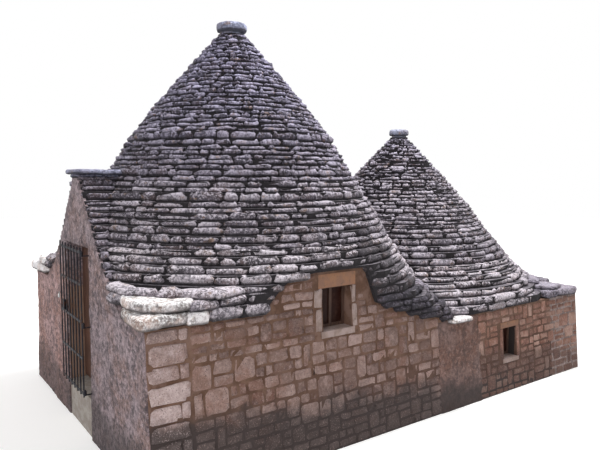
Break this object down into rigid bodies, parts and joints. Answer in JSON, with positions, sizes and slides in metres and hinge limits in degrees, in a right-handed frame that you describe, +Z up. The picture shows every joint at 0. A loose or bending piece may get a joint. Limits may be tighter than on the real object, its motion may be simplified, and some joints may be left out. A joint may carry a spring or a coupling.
{
  "type": "trullo house",
  "caption": "Dry-stone trullo house with two corbelled cones, a gabled doorway behind a hinged iron gate, and small deep windows.",
  "frame": {"origin": "on the main cone's vertical axis, at the lowest ground", "axes": "+Z up, +Y back from the front wall along the house, +X to the right when facing the door"},
  "size_m": [5, 7.917, 5.5778],
  "materials": {
    "plastered_wall": "weathered lime plaster on rubble",
    "coursed_limestone": "coursed limestone with earth-red joints",
    "dressed_stone": "dressed limestone, tooled",
    "paving": "worn limestone paving",
    "roof_slabs": "dry-laid limestone slabs, grey with lichen",
    "pale_slabs": "pale weathered limestone slabs",
    "pinnacle_stone": "carved limestone",
    "dark_wood": "dark stained boards",
    "window_pane": "dark glass",
    "black_iron": "painted wrought iron"
  },
  "bodies": {
    "root": {"front_wall_right": "plastered_wall", "front_wall_left": "plastered_wall", "gable_shoulders": "plastered_wall", "gable_peak": "plastered_wall", "door_lintel": "plastered_wall", "inner_lintel": "dressed_stone", "thresholds": "paving", "right_wall_front": "coursed_limestone", "right_wall_middle": "coursed_limestone", "right_wall_rear": "coursed_limestone", "left_wall_front": "coursed_limestone", "left_wall_middle": "coursed_limestone", "left_wall_rear": "coursed_limestone", "party_wall": "coursed_limestone", "cross_wall_piers": "coursed_limestone", "cross_arch": "dressed_stone", "front_room_floor": "paving", "rear_room_floor": "paving", "window_lintels": "dressed_stone", "window_sills": "pale_slabs", "window_frames": "dark_wood", "window_glass": "window_pane", "corner_slabs": "pale_slabs", "rear_corner_slabs": "pale_slabs", "valley_slabs": "pale_slabs", "main_cone_base": "roof_slabs", "main_cone_skirt": "roof_slabs", "main_cone_lower": "roof_slabs", "main_cone_middle": "roof_slabs", "main_cone_upper": "roof_slabs", "closing_slabs": "roof_slabs", "main_cone_crown": "roof_slabs", "main_pinnacle": "pinnacle_stone", "gable_roof": "roof_slabs", "gable_cap": "roof_slabs", "rear_cone_base": "roof_slabs", "rear_cone_lower": "roof_slabs", "rear_cone_upper": "roof_slabs", "rear_cone_crown": "roof_slabs", "rear_pinnacle": "pinnacle_stone", "gate_pintles": "black_iron", "door_pintles": "black_iron"},
    "gate": {"gate_leaf": "black_iron", "gate_lock": "black_iron"},
    "door": {"door_leaf": "dark_wood"}
  },
  "joints": [
    {"name": "gate_hinge", "type": "hinge", "parent": "root", "child": "gate", "pos_m": [0.545, -2.4, 0.59], "axis": [0, 0, 1], "range_deg": [0, 150]},
    {"name": "door_hinge", "type": "hinge", "parent": "root", "child": "door", "pos_m": [-0.585, -2.025, 0.52], "axis": [0, 0, 1], "range_deg": [0, 90]}
  ]
}
